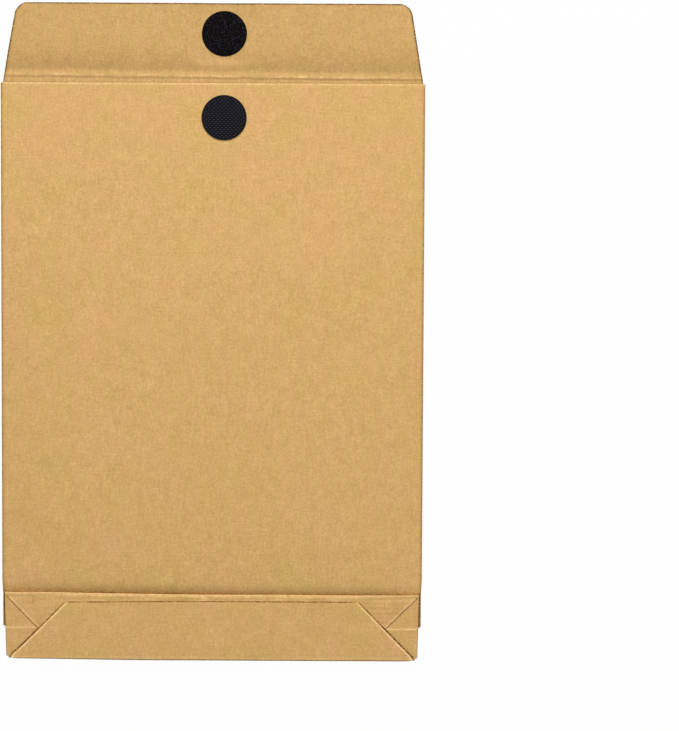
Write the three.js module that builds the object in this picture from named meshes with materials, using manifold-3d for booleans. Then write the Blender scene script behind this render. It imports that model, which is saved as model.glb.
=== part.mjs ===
// Expandable kraft-paper envelope with side gussets, a folded block bottom and a hook-and-loop closure.
// It lies flat on its back with the flap open: +Z is up, +Y points to the flap, +X to the right.
// The origin is on the underside, at the middle of the length and the width. Millimetres.

import * as THREE from 'three';
import { mergeVertices } from 'three/addons/utils/BufferGeometryUtils.js';
import Module from 'manifold-3d';

// Overall panels
const BODY_WIDTH = 230;
const FRONT_HEIGHT = 314.2;
const EXPANSION = 36.5;
const BOTTOM_CORNER_RADIUS = 2;

// Closure flap: it hangs on a short neck of the back panel, with a narrow spine between its two creases.
// Its base and its tip are set in from the sides of the body.
const NECK_HEIGHT = 1.1;
const SPINE_HEIGHT = 4.1;
const FLAP_DEPTH = 38.4;
const FLAP_BASE_INSET = 0.9;
const FLAP_TIP_INSET = 8;
const FLAP_CORNER_RADIUS = 6;

// Block bottom: it is folded in a little from the sides of the body, and the outer flap's fold stops short
// of the corners. The reach is how far its two flaps and the end tucks go in from their folds.
const BLOCK_INSET = 1.4;
const OUTER_FLAP_SETBACK = 1;
const BOTTOM_REACH = 31.7;
const PRESSED_CREASE_WIDTH = 0.6;
const PRESSED_CREASE_DEPTH = 0.1;

// Side seam: the tab that the right gusset is glued to the front panel with
const SEAM_WIDTH = 14;
const SEAM_GLUE_MARGIN = 2;
const BOTTOM_GLUE_MARGIN = 1.5;

// Paper, and the room left between plies, at creases and along the slanted bottom folds
const PAPER = 0.25;
const PLY_GAP = 0.25;
const CREASE_GAP = 0.2;
const SLANT_GAP = 0.2;
const WRAP_SETBACK = 2;

// Hook-and-loop dots, stuck on by hand: the closed loop dot lands a little below the hook dot
const DOT_DIAMETER = 24.5;
const DOT_SIDE_SHIFT = 6.1;
const DOT_TIP_MARGIN = 4.1;
const DOT_MISMATCH = 2.8;
const ADHESIVE = 0.2;
const ADHESIVE_SETBACK = 0.3;
const HOOK_TAPE = 0.25;
const HOOK_PITCH = 1.5;
const HOOK_MARGIN = 0.9;
const HOOK_STEM = 0.4;
const HOOK_BEND_RADIUS = 0.2;
const HOOK_THREAD = 0.2;
const HOOK_ROOT = 0.125;
const LOOP_TAPE = 0.25;
const PILE_HEIGHT = 0.55;
const PILE_SETBACK = 0.4;
const PILE_EDGE_ROUND = 0.35;

// Places that follow from the sizes above
const TOTAL_LENGTH = FRONT_HEIGHT + NECK_HEIGHT + SPINE_HEIGHT + FLAP_DEPTH;
const BOTTOM_Y = -TOTAL_LENGTH / 2;
const FRONT_TOP_Y = BOTTOM_Y + FRONT_HEIGHT;
const LOWER_CREASE_Y = FRONT_TOP_Y + NECK_HEIGHT;
const UPPER_CREASE_Y = LOWER_CREASE_Y + SPINE_HEIGHT;
const FLAP_TIP_Y = UPPER_CREASE_Y + FLAP_DEPTH;
const HALF_WIDTH = BODY_WIDTH / 2;
const HALF_BLOCK = HALF_WIDTH - BLOCK_INSET;
const HALF_CREASE = CREASE_GAP / 2;
const FRONT_FOLD_Y = BOTTOM_Y + EXPANSION / 2;
const BLOCK_TOP_Y = BOTTOM_Y + EXPANSION;
const LOOP_DOT_Y = FLAP_TIP_Y - DOT_TIP_MARGIN - DOT_DIAMETER / 2;
const HOOK_DOT_Y = LOWER_CREASE_Y - (LOOP_DOT_Y - UPPER_CREASE_Y) + DOT_MISMATCH;

// Plies from the table upwards, when the envelope is folded flat
const PLIES = ['back', 'gussetBack', 'gussetFront', 'seamTab', 'front', 'foldStrip', 'cornerTriangle',
  'tuck', 'innerFlap', 'outerFlap'];
const plyBottom = (name) => PLIES.indexOf(name) * (PAPER + PLY_GAP);
const plyTop = (name) => plyBottom(name) + PAPER;

const LEFT = -1;
const RIGHT = 1;

const wasm = await Module();
wasm.setup();

const envelope = new THREE.Group();

// Materials

const kraftPaper = () => new THREE.MeshStandardMaterial({ color: 0xd3ab6d, roughness: 0.85, metalness: 0 });
const blackNylon = () => new THREE.MeshStandardMaterial({ color: 0x1c1c1f, roughness: 0.6, metalness: 0 });
const napNylon = () => new THREE.MeshStandardMaterial({ color: 0x141416, roughness: 0.95, metalness: 0 });
const clearAdhesive = () => new THREE.MeshStandardMaterial({ color: 0xd9d4c4, roughness: 0.4, metalness: 0 });
const driedGlue = () => new THREE.MeshStandardMaterial({ color: 0xe8dcc0, roughness: 0.5, metalness: 0 });

function add(name, geometry, material) {
  const mesh = new THREE.Mesh(geometry, material);
  mesh.name = name;
  envelope.add(mesh);
}

// Flat plates

// A point on the way from one corner to the next, a given distance along it.
function towards([x, y], [nextX, nextY], distance) {
  const length = Math.hypot(nextX - x, nextY - y);
  const share = Math.min(distance / length, 0.5);
  return [x + (nextX - x) * share, y + (nextY - y) * share];
}

// A closed outline through corners [x, y, radius]; a corner without a radius is sharp.
function outline(corners) {
  const shape = new THREE.Shape();
  corners.forEach(([x, y, radius = 0], index) => {
    const previous = corners[(index + corners.length - 1) % corners.length];
    const next = corners[(index + 1) % corners.length];
    const start = towards([x, y], previous, radius);
    if (index === 0) shape.moveTo(...start);
    else shape.lineTo(...start);
    if (radius > 0) shape.quadraticCurveTo(x, y, ...towards([x, y], next, radius));
  });
  shape.closePath();
  return shape;
}

// A plate between two heights. Its faces land on exactly the numbers that its neighbours use.
function slab(shape, bottom, top, curveSegments = 6) {
  const geometry = new THREE.ExtrudeGeometry(shape, { depth: 1, bevelEnabled: false, curveSegments });
  const position = geometry.getAttribute('position');
  for (let i = 0; i < position.count; i += 1) {
    position.setZ(i, position.getZ(i) > 0.5 ? top : bottom);
  }
  return geometry;
}

const panel = (corners, ply) => slab(outline(corners), plyBottom(ply), plyTop(ply));

// A side piece is drawn by its distance in from the side edge, and mirrored for the other side.
const fromSide = (side, corners) => corners.map(([inward, y]) => [side * (HALF_WIDTH - inward), y]);

function disc(x, y, radius, bottom, top) {
  const shape = new THREE.Shape();
  shape.absarc(x, y, radius, 0, 2 * Math.PI);
  return slab(shape, bottom, top, 48);
}

// Joining and cutting

function toSolid(geometry) {
  const bare = geometry.clone();
  bare.deleteAttribute('normal');
  bare.deleteAttribute('uv');
  const merged = mergeVertices(bare, 1e-5);
  return new wasm.Manifold(new wasm.Mesh({
    numProp: 3,
    vertProperties: new Float32Array(merged.getAttribute('position').array),
    triVerts: new Uint32Array(merged.getIndex().array),
  }));
}

function toGeometry(solid) {
  const mesh = solid.getMesh();
  const geometry = new THREE.BufferGeometry();
  geometry.setAttribute('position', new THREE.BufferAttribute(mesh.vertProperties, 3));
  geometry.setIndex(new THREE.BufferAttribute(mesh.triVerts, 1));
  geometry.computeVertexNormals();
  return geometry;
}

const fuse = (geometries) => toGeometry(geometries.map(toSolid).reduce((whole, next) => whole.add(next)));

// Back panel: as wide as the block bottom at its fold, full width up to the front panel's top edge,
// then a neck as wide as the flap's base

const flapHalfWidth = (y) => THREE.MathUtils.mapLinear(
  y, FRONT_TOP_Y, FLAP_TIP_Y, HALF_WIDTH - FLAP_BASE_INSET, HALF_WIDTH - FLAP_TIP_INSET);

const neckTopY = LOWER_CREASE_Y - HALF_CREASE;
add('back_panel', panel([
  [-HALF_BLOCK, BOTTOM_Y, BOTTOM_CORNER_RADIUS],
  [HALF_BLOCK, BOTTOM_Y, BOTTOM_CORNER_RADIUS],
  [HALF_WIDTH, FRONT_FOLD_Y],
  [HALF_WIDTH, FRONT_TOP_Y],
  [flapHalfWidth(FRONT_TOP_Y), FRONT_TOP_Y],
  [flapHalfWidth(neckTopY), neckTopY],
  [-flapHalfWidth(neckTopY), neckTopY],
  [-flapHalfWidth(FRONT_TOP_Y), FRONT_TOP_Y],
  [-HALF_WIDTH, FRONT_TOP_Y],
  [-HALF_WIDTH, FRONT_FOLD_Y],
], 'back'), kraftPaper());

// Flap: a spine strip between two creases, then the tapered flap with rounded tip corners

function flapStrip(fromY, toY, tipRadius) {
  return panel([
    [-flapHalfWidth(fromY), fromY],
    [flapHalfWidth(fromY), fromY],
    [flapHalfWidth(toY), toY, tipRadius],
    [-flapHalfWidth(toY), toY, tipRadius],
  ], 'back');
}

add('flap_spine', flapStrip(LOWER_CREASE_Y + HALF_CREASE, UPPER_CREASE_Y - HALF_CREASE, 0), kraftPaper());
add('closure_flap', flapStrip(UPPER_CREASE_Y + HALF_CREASE, FLAP_TIP_Y, FLAP_CORNER_RADIUS), kraftPaper());

// Gussets: each side has two half-depth panels folded inwards, cut at 45 degrees where they meet the bottom

function gussetHalf(side, ply) {
  const outer = HALF_CREASE;
  const inner = EXPANSION / 2 - HALF_CREASE;
  const lowest = BLOCK_INSET + HALF_CREASE;
  return panel(fromSide(side, [
    [outer, FRONT_FOLD_Y],
    [lowest, BOTTOM_Y + lowest + SLANT_GAP],
    [inner, BOTTOM_Y + inner + SLANT_GAP],
    [inner, FRONT_TOP_Y],
    [outer, FRONT_TOP_Y],
  ]), ply);
}

// Corner triangles: the gusset's lowest triangle, folded flat under the bottom block

function cornerTriangle(side) {
  return panel(fromSide(side, [
    [BLOCK_INSET + HALF_CREASE, BOTTOM_Y + HALF_CREASE],
    [BLOCK_INSET + EXPANSION / 2, FRONT_FOLD_Y],
    [BLOCK_INSET + HALF_CREASE, BLOCK_TOP_Y - HALF_CREASE],
  ]), 'cornerTriangle');
}

// End tucks: the first part folded in at each end of the bottom, full depth and square cut.
// The gusset's middle crease runs on across each tuck as a pressed line, to where the two flaps' slants meet.

// The profile's points are [y, z], and it is carried along X from one place to another.
function alongX(profile, fromX, toX) {
  const geometry = slab(outline(profile), Math.min(fromX, toX), Math.max(fromX, toX));
  const axes = new THREE.Matrix4().makeBasis(
    new THREE.Vector3(0, 1, 0), new THREE.Vector3(0, 0, 1), new THREE.Vector3(1, 0, 0));
  return geometry.applyMatrix4(axes);
}

function endTuck(side) {
  const insideWrap = PAPER + PLY_GAP;
  const bottom = plyBottom('tuck');
  const top = plyTop('tuck');
  const creaseY = FRONT_FOLD_Y - OUTER_FLAP_SETBACK / 2;
  return alongX([
    [BOTTOM_Y + insideWrap, bottom],
    [BLOCK_TOP_Y - insideWrap, bottom],
    [BLOCK_TOP_Y - insideWrap, top],
    [creaseY + PRESSED_CREASE_WIDTH / 2, top],
    [creaseY, top - PRESSED_CREASE_DEPTH],
    [creaseY - PRESSED_CREASE_WIDTH / 2, top],
    [BOTTOM_Y + insideWrap, top],
  ], side * HALF_BLOCK, side * (HALF_BLOCK - BOTTOM_REACH));
}

for (const [word, side] of [['left', LEFT], ['right', RIGHT]]) {
  add(`${word}_gusset_back`, gussetHalf(side, 'gussetBack'), kraftPaper());
  add(`${word}_gusset_front`, gussetHalf(side, 'gussetFront'), kraftPaper());
  add(`${word}_corner_triangle`, cornerTriangle(side), kraftPaper());
  add(`${word}_bottom_tuck`, endTuck(side), kraftPaper());
}

// Front panel, the strip below its hidden fold, which narrows to the block, and the glued side seam

const frontBottomY = FRONT_FOLD_Y + HALF_CREASE;
const rectangle = (x1, y1, x2, y2) => [[x1, y1], [x2, y1], [x2, y2], [x1, y2]];

add('front_panel', panel(rectangle(-HALF_WIDTH, frontBottomY, HALF_WIDTH, FRONT_TOP_Y), 'front'), kraftPaper());
add('front_fold_strip', panel([
  [-HALF_WIDTH, frontBottomY],
  [HALF_WIDTH, frontBottomY],
  [HALF_BLOCK, BLOCK_TOP_Y - HALF_CREASE],
  [-HALF_BLOCK, BLOCK_TOP_Y - HALF_CREASE],
], 'foldStrip'), kraftPaper());
add('side_seam_tab', panel(rectangle(
  HALF_WIDTH - SEAM_WIDTH, frontBottomY, HALF_WIDTH - HALF_CREASE, FRONT_TOP_Y), 'seamTab'), kraftPaper());
add('side_seam_glue', slab(outline(rectangle(
  HALF_WIDTH - SEAM_WIDTH + SEAM_GLUE_MARGIN, frontBottomY + SEAM_GLUE_MARGIN,
  HALF_WIDTH - HALF_CREASE - SEAM_GLUE_MARGIN, FRONT_TOP_Y - SEAM_GLUE_MARGIN,
)), plyTop('seamTab'), plyBottom('front')), driedGlue());

// Bottom flaps: a trapezoid over its two folded-under corners, and a lip where the paper wraps its long fold.
// The outer flap hangs on the back panel's fold and closes over the inner one, which hangs on the front's.

function bottomFlap(foldY, inwards, halfWidth, ply, plyBelow, lipBottom) {
  const tipY = foldY + inwards * BOTTOM_REACH;
  const shoulder = halfWidth - BOTTOM_REACH;
  const lipHalf = halfWidth - WRAP_SETBACK;
  const middle = (plyBottom(ply) + plyTop(ply)) / 2;
  const face = panel([
    [-halfWidth, foldY, BOTTOM_CORNER_RADIUS],
    [halfWidth, foldY, BOTTOM_CORNER_RADIUS],
    [shoulder, tipY],
    [-shoulder, tipY],
  ], ply);
  const foldedCorner = (side) => slab(outline([
    [side * lipHalf, foldY],
    [side * shoulder, foldY],
    [side * shoulder, tipY - inwards * WRAP_SETBACK],
  ]), plyTop(plyBelow), middle);
  const lip = slab(
    outline(rectangle(-lipHalf, foldY, lipHalf, foldY + inwards * PAPER)), lipBottom, middle);
  return fuse([face, foldedCorner(LEFT), foldedCorner(RIGHT), lip]);
}

add('bottom_inner_flap', bottomFlap(
  BLOCK_TOP_Y, -1, HALF_BLOCK, 'innerFlap', 'tuck', plyTop('foldStrip') + PLY_GAP), kraftPaper());
const outerHalf = HALF_BLOCK - OUTER_FLAP_SETBACK;
add('bottom_outer_flap', bottomFlap(
  BOTTOM_Y, 1, outerHalf, 'outerFlap', 'innerFlap', plyTop('back') + PLY_GAP), kraftPaper());
const glueHalf = outerHalf - BOTTOM_REACH - BOTTOM_GLUE_MARGIN;
add('bottom_glue', slab(outline(rectangle(
  -glueHalf, BLOCK_TOP_Y - BOTTOM_REACH + BOTTOM_GLUE_MARGIN,
  glueHalf, BOTTOM_Y + BOTTOM_REACH - BOTTOM_GLUE_MARGIN,
)), plyTop('innerFlap'), plyBottom('outerFlap')), driedGlue());

// Hook dot on the front panel: adhesive, woven tape and rows of hooks that lean alternate ways

const dotRadius = DOT_DIAMETER / 2;
const hookTapeBottom = plyTop('front') + ADHESIVE;
const hookTapeTop = hookTapeBottom + HOOK_TAPE;

// One hook: a three-sided thread that rises from the tape and bends over in a half circle.
function hookThread(x, y, lean) {
  const path = [[0, -HOOK_ROOT], [0, HOOK_STEM]];
  for (const turn of [60, 125, 190]) {
    const angle = THREE.MathUtils.degToRad(turn);
    path.push([HOOK_BEND_RADIUS * (1 - Math.cos(angle)), HOOK_STEM + HOOK_BEND_RADIUS * Math.sin(angle)]);
  }
  const positions = [];
  path.forEach(([out, up], index) => {
    const [fromOut, fromUp] = path[Math.max(index - 1, 0)];
    const [toOut, toUp] = path[Math.min(index + 1, path.length - 1)];
    const heading = Math.atan2(toUp - fromUp, toOut - fromOut);
    for (let corner = 0; corner < 3; corner += 1) {
      const around = (corner * 2 * Math.PI) / 3;
      const across = (HOOK_THREAD / 2) * Math.cos(around);
      const along = (HOOK_THREAD / 2) * Math.sin(around);
      positions.push(
        x + lean * (out - across * Math.sin(heading)),
        y + lean * along,
        hookTapeTop + up + across * Math.cos(heading),
      );
    }
  });
  const index = [0, 1, 2];
  for (let ring = 0; ring < path.length - 1; ring += 1) {
    for (let corner = 0; corner < 3; corner += 1) {
      const here = ring * 3 + corner;
      const beside = ring * 3 + ((corner + 1) % 3);
      index.push(here, here + 3, beside, beside, here + 3, beside + 3);
    }
  }
  const last = (path.length - 1) * 3;
  index.push(last + 2, last + 1, last);
  return { positions, index };
}

function hookRows() {
  const reach = dotRadius - HOOK_MARGIN - HOOK_THREAD;
  const steps = Math.ceil((reach * Math.SQRT2) / HOOK_PITCH);
  const positions = [];
  const index = [];
  for (let row = -steps; row <= steps; row += 1) {
    for (let column = -steps; column <= steps; column += 1) {
      const x = ((column - row) * HOOK_PITCH) / Math.SQRT2;
      const y = ((column + row) * HOOK_PITCH) / Math.SQRT2;
      if (Math.hypot(x, y) > reach) continue;
      const lean = (row + column) % 2 === 0 ? 1 : -1;
      const foot = x - lean * HOOK_BEND_RADIUS;
      const hook = hookThread(DOT_SIDE_SHIFT + foot, HOOK_DOT_Y + y, lean);
      const offset = positions.length / 3;
      positions.push(...hook.positions);
      index.push(...hook.index.map((corner) => corner + offset));
    }
  }
  const geometry = new THREE.BufferGeometry();
  geometry.setAttribute('position', new THREE.Float32BufferAttribute(positions, 3));
  geometry.setIndex(index);
  return geometry;
}

add('hook_dot_adhesive', disc(
  DOT_SIDE_SHIFT, HOOK_DOT_Y, dotRadius - ADHESIVE_SETBACK, plyTop('front'), hookTapeBottom), clearAdhesive());
add('hook_dot_tape', fuse([
  disc(DOT_SIDE_SHIFT, HOOK_DOT_Y, dotRadius, hookTapeBottom, hookTapeTop),
  hookRows(),
]), blackNylon());

// Loop dot on the flap: adhesive, knitted tape and a low napped pile with a rounded rim

const loopTapeBottom = plyTop('back') + ADHESIVE;
const loopTapeTop = loopTapeBottom + LOOP_TAPE;

function napPile() {
  const radius = dotRadius - PILE_SETBACK;
  const profile = [new THREE.Vector2(0, 0), new THREE.Vector2(radius, 0)];
  for (let step = 0; step <= 4; step += 1) {
    const angle = (step / 4) * (Math.PI / 2);
    profile.push(new THREE.Vector2(
      radius - PILE_EDGE_ROUND * (1 - Math.cos(angle)),
      PILE_HEIGHT - PILE_EDGE_ROUND * (1 - Math.sin(angle)),
    ));
  }
  profile.push(new THREE.Vector2(0, PILE_HEIGHT));
  const geometry = new THREE.LatheGeometry(profile, 48);
  geometry.rotateX(Math.PI / 2);
  geometry.translate(DOT_SIDE_SHIFT, LOOP_DOT_Y, loopTapeTop);
  return geometry;
}

add('loop_dot_adhesive', disc(
  DOT_SIDE_SHIFT, LOOP_DOT_Y, dotRadius - ADHESIVE_SETBACK, plyTop('back'), loopTapeBottom), clearAdhesive());
add('loop_dot_tape', disc(DOT_SIDE_SHIFT, LOOP_DOT_Y, dotRadius, loopTapeBottom, loopTapeTop), blackNylon());
add('loop_dot_pile', napPile(), napNylon());

export default envelope;
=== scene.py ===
# Kraft-paper envelope with folding side gussets, a folded block bottom and a hook-and-loop dot closure.
# It lies flat on its back with the flap open, on a white table, seen from almost straight above.
# Shapes are worked out in millimetres and turned into metres when a mesh is made.

import math

import bpy
import numpy as np
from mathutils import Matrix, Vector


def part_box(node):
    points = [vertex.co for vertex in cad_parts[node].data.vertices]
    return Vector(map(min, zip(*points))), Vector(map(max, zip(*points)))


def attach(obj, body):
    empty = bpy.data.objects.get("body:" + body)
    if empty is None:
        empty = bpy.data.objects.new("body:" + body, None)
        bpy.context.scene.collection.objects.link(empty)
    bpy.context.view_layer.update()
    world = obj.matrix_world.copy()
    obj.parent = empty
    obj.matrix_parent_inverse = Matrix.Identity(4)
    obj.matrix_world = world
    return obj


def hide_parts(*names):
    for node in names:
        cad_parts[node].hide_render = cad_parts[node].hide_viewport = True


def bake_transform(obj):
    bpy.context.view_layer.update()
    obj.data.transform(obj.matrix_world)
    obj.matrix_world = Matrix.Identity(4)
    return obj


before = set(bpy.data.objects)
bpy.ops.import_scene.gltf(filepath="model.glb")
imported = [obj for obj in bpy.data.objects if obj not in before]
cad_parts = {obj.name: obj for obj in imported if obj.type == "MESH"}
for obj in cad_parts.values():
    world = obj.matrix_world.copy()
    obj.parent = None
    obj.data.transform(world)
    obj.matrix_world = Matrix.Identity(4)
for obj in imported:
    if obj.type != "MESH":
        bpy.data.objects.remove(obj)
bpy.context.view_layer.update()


# Back panel with the neck and the lower half of the flap's spine: one sheet of brown kraft paper,
# smooth and a little redder on its outside face, duller on its inside. It bends at the lower crease.

MM = 0.001

# The paper is a little thicker than real kraft of this weight, so that its cut edges show.
PAPER = 0.2


def box(node):
    low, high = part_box(node)
    return np.array(low) / MM, np.array(high) / MM


def middle_height(node):
    low, high = box(node)
    return (low[2] + high[2]) / 2


def stops(first, *parts):
    """Places along a line. Each part is the next end and the largest step on the way to it."""
    places = np.array([float(first)])
    for last, step in parts:
        count = max(1, math.ceil(abs(last - places[-1]) / step - 1e-9))
        places = np.append(places, np.linspace(places[-1], last, count + 1)[1:])
    return places


def smooth(t):
    """0 before 0, 1 after 1 and an easy slope between."""
    t = np.clip(t, 0, 1)
    return t * t * (3 - 2 * t)


def bump(distance, width):
    """1 at distance 0, and soft on both sides."""
    return np.exp(-(distance / width) ** 2)


def ripple(x, y, size, seed):
    """Gentle uneven waves about one size apart, mostly between -1 and 1."""
    draw = np.random.default_rng(seed)
    total = 0 * (x + y)
    for _ in range(6):
        heading = draw.uniform(0, 2 * math.pi)
        length = size * draw.uniform(0.6, 1.7)
        phase = draw.uniform(0, 2 * math.pi)
        total = total + np.sin((x * math.cos(heading) + y * math.sin(heading)) * 2 * math.pi / length + phase)
    return total / 2.6


def through(places, heights, at):
    """A smooth curve through a few points, without overshoot."""
    places, heights = np.array(places, float), np.array(heights, float)
    steps = np.diff(places)
    slopes = np.diff(heights) / steps
    tangents = np.zeros(len(places))
    rising = slopes[:-1] * slopes[1:] > 0
    tangents[1:-1][rising] = 2 * slopes[:-1][rising] * slopes[1:][rising] / (slopes[:-1] + slopes[1:])[rising]
    i = np.clip(np.searchsorted(places, at) - 1, 0, len(steps) - 1)
    t = np.clip((at - places[i]) / steps[i], 0, 1)
    return (heights[i] * (1 + 2 * t) * (1 - t) ** 2 + tangents[i] * steps[i] * t * (1 - t) ** 2
            + heights[i + 1] * t * t * (3 - 2 * t) + tangents[i + 1] * steps[i] * t * t * (t - 1))


def shell(middle, thickness=PAPER, wear_and_shade=0):
    """A closed sheet round a grid of middle points, rows by columns. Its first face looks along columns x
    rows. The last argument says how far the paper is paled (above 0) and darkened (below 0) at each point,
    by some crease wear and mostly by painted highlight and painted shade."""
    normal = np.cross(np.gradient(middle, axis=1), np.gradient(middle, axis=0))
    normal /= np.linalg.norm(normal, axis=2, keepdims=True)
    points = np.concatenate([(middle + normal * thickness / 2).reshape(-1, 3),
                             (middle - normal * thickness / 2).reshape(-1, 3)])
    rows, columns = middle.shape[:2]
    count = rows * columns
    index = np.arange(count).reshape(rows, columns)
    corners = [index[:-1, :-1], index[:-1, 1:], index[1:, 1:], index[1:, :-1]]
    first = np.stack(corners, -1).reshape(-1, 4)
    second = np.stack(corners[::-1], -1).reshape(-1, 4) + count
    line = np.concatenate([index[0], index[1:, -1], index[-1, -2::-1], index[-2::-1, 0]])
    edge = np.stack([line[:-1] + count, line[1:] + count, line[1:], line[:-1]], -1)
    faces = np.concatenate([first, second, edge])
    kinds = np.repeat([0, 1, 2], [len(first), len(second), len(edge)])
    marks = np.broadcast_to(wear_and_shade, (rows, columns)).ravel()
    return points, faces, kinds, np.concatenate([marks, marks])


def piece(name, shells, materials, shift=(0, 0, 0), sharp=40):
    """One mesh of closed shells. Materials are for the first face, the second face and the cut edge. Shift
    moves the paper's pattern by so many mm, so that no two panels look alike."""
    points, faces, kinds, wear_and_shade, start = [], [], [], [], 0
    for shell_points, shell_faces, shell_kinds, shell_wear_and_shade in shells:
        points.append(shell_points)
        wear_and_shade.append(shell_wear_and_shade)
        faces += [[int(corner) + start for corner in face] for face in shell_faces]
        kinds.append(shell_kinds)
        start += len(shell_points)
    points, kinds = np.concatenate(points), np.concatenate(kinds)
    mesh = bpy.data.meshes.new(name)
    mesh.from_pydata((points * MM).tolist(), [], faces)
    place = mesh.attributes.new("sheet_place", "FLOAT_VECTOR", "POINT")
    place.data.foreach_set("vector", (points + np.array(shift)).astype(np.float32).ravel())
    mark = mesh.attributes.new("wear_and_shade", "FLOAT", "POINT")
    mark.data.foreach_set("value", np.concatenate(wear_and_shade).astype(np.float32))
    for material in materials:
        mesh.materials.append(material)
    mesh.polygons.foreach_set("material_index", np.minimum(kinds, len(materials) - 1).astype(np.int32))
    mesh.shade_smooth()
    mesh.set_sharp_from_angle(angle=math.radians(sharp))
    made = bpy.data.objects.new(name, mesh)
    bpy.context.scene.collection.objects.link(made)
    return made


def between(y, left, right, shares):
    """X and y of a grid whose rows run between two side lines."""
    x = left[:, None] + (right - left)[:, None] * shares[None, :]
    return x, np.repeat(np.array(y)[:, None], len(shares), 1)


def grid_of(x, y, z):
    """The points of a grid. Z may be one height for all of them."""
    return np.stack([x, y, z + 0 * x], -1)


def corner_cut(reach, radius):
    """How far a rounded corner has drawn in, at a reach past the start of its arc."""
    reach = np.clip(reach, 0, radius)
    return radius - np.sqrt(np.clip(radius ** 2 - reach ** 2, 0, None))


def colour(text):
    """A linear colour from its sRGB hex code."""
    parts = [int(text[i:i + 2], 16) / 255 for i in (1, 3, 5)]
    return tuple(p / 12.92 if p <= 0.04045 else ((p + 0.055) / 1.055) ** 2.4 for p in parts) + (1.0,)


def add(tree, kind, inputs=None, **settings):
    """A shader node with its settings. An input's value is a number, a colour or another node's socket."""
    node = tree.nodes.new(kind)
    for key, value in settings.items():
        setattr(node, key, value)
    for key, value in (inputs or {}).items():
        if isinstance(value, bpy.types.NodeSocket):
            tree.links.new(value, node.inputs[key])
        else:
            node.inputs[key].default_value = value
    return node


def empty_material(name):
    """A new material and its node tree, with nothing in it."""
    material = bpy.data.materials.new(name)
    material.use_nodes = True
    material.node_tree.nodes.clear()
    return material, material.node_tree


BARK_SPACING = 9


def kraft(name, red, yellow, roughness, mottle):
    """Unbleached kraft, pressed flat: patches that drift between two browns, cloudy pulp 1 to 5 mm across,
    fibres that run with the sheet, a few dark bits of bark, and ragged pale and dark marks along creases,
    folds and edges, some of them crease wear and most of them painted highlight and painted shade. Fibres are
    drawn coarser than real ones, so that they show."""
    material, tree = empty_material(name)
    place = add(tree, "ShaderNodeAttribute", attribute_name="sheet_place").outputs["Vector"]

    def noise(grain, detail, low, high, wide=0.25):
        """Noise with a grain size in mm for each direction, mapped to a range."""
        scale = tuple(1 / size for size in grain)
        stretched = add(tree, "ShaderNodeMapping", {"Vector": place, "Scale": scale})
        cloud = add(tree, "ShaderNodeTexNoise", {"Vector": stretched.outputs["Vector"], "Scale": 1.0,
                                                 "Detail": detail, "Roughness": 0.6}).outputs["Fac"]
        return add(tree, "ShaderNodeMapRange", {
            "Value": cloud, "From Min": 0.5 - wide, "From Max": 0.5 + wide,
            "To Min": low, "To Max": high}).outputs["Result"]

    def product(*sockets):
        """All the values multiplied."""
        total = sockets[0]
        for socket in sockets[1:]:
            total = add(tree, "ShaderNodeMath", {0: total, 1: socket}, operation="MULTIPLY").outputs[0]
        return total

    browns = {0: noise((22, 26, 22), 4.0, 0, 1, 0.18), 6: colour(red), 7: colour(yellow)}
    brown = add(tree, "ShaderNodeMix", browns, data_type="RGBA").outputs[2]
    pulp = noise((1.1, 1.1, 1.1), 3.0, 1 - mottle, 1 + mottle)
    flock = noise((5, 7, 4), 2.0, 1 - 0.4 * mottle, 1 + 0.4 * mottle)
    fibres = noise((0.8, 5, 2), 2.0, 1 - 0.45 * mottle, 1 + 0.45 * mottle)
    cross = noise((6, 0.9, 2), 2.0, 1 - 0.3 * mottle, 1 + 0.3 * mottle)
    bits = add(tree, "ShaderNodeTexVoronoi", {"Vector": place, "Scale": 1 / BARK_SPACING})
    bark = add(tree, "ShaderNodeMapRange", {
        "Value": bits.outputs["Distance"], "From Min": 0.02, "From Max": 0.05,
        "To Min": 0.72, "To Max": 1.0}).outputs["Result"]

    # The marks, crease wear with painted highlight and painted shade, multiply the brown by 1 plus their
    # value.
    # Green and blue fall faster than red, so that a darker place is also browner.
    wear_and_shade = add(tree, "ShaderNodeAttribute", attribute_name="wear_and_shade").outputs["Fac"]
    ragged = product(wear_and_shade, noise((1.6, 0.7, 0.7), 3.0, 0.35, 1.65, 0.15))
    marked = add(tree, "ShaderNodeMapRange", {"Value": ragged, "From Min": -0.88, "From Max": 1.0,
                                              "To Min": 0.12, "To Max": 2.0}).outputs["Result"]
    grey = product(pulp, flock, fibres, cross, bark, marked)
    green = add(tree, "ShaderNodeMath", {0: grey, 1: 1.25}, operation="POWER").outputs[0]
    blue = add(tree, "ShaderNodeMath", {0: grey, 1: 1.8}, operation="POWER").outputs[0]
    tint = add(tree, "ShaderNodeCombineXYZ", {"X": grey, "Y": green, "Z": blue}).outputs["Vector"]
    shade = add(tree, "ShaderNodeVectorMath", {0: brown, 1: tint}, operation="MULTIPLY").outputs[0]
    rise = add(tree, "ShaderNodeMath", {0: pulp, 1: fibres}, operation="ADD").outputs[0]
    relief = add(tree, "ShaderNodeBump", {"Height": rise, "Strength": 0.5, "Distance": 0.05 * MM})
    surface = add(tree, "ShaderNodeBsdfPrincipled", {
        "Base Color": shade, "Roughness": roughness, "Specular IOR Level": 0.25,
        "Normal": relief.outputs["Normal"]}).outputs["BSDF"]
    add(tree, "ShaderNodeOutputMaterial", {"Surface": surface})
    return material


# The outside face is the smoother one and the inside is duller. A cut is darker, partly for its loose fibres
# and partly as painted shade along the cut edges.
outside = kraft("kraft_outside_face", "#dfaf73", "#d9b169", 0.75, 0.13)
inside = kraft("kraft_inside_face", "#d2a66b", "#cda664", 0.85, 0.13)
cut_edge = kraft("kraft_cut_edge", "#a37a48", "#9f7a44", 0.9, 0.15)
outside_first = [outside, inside, cut_edge]
inside_first = [inside, outside, cut_edge]

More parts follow.
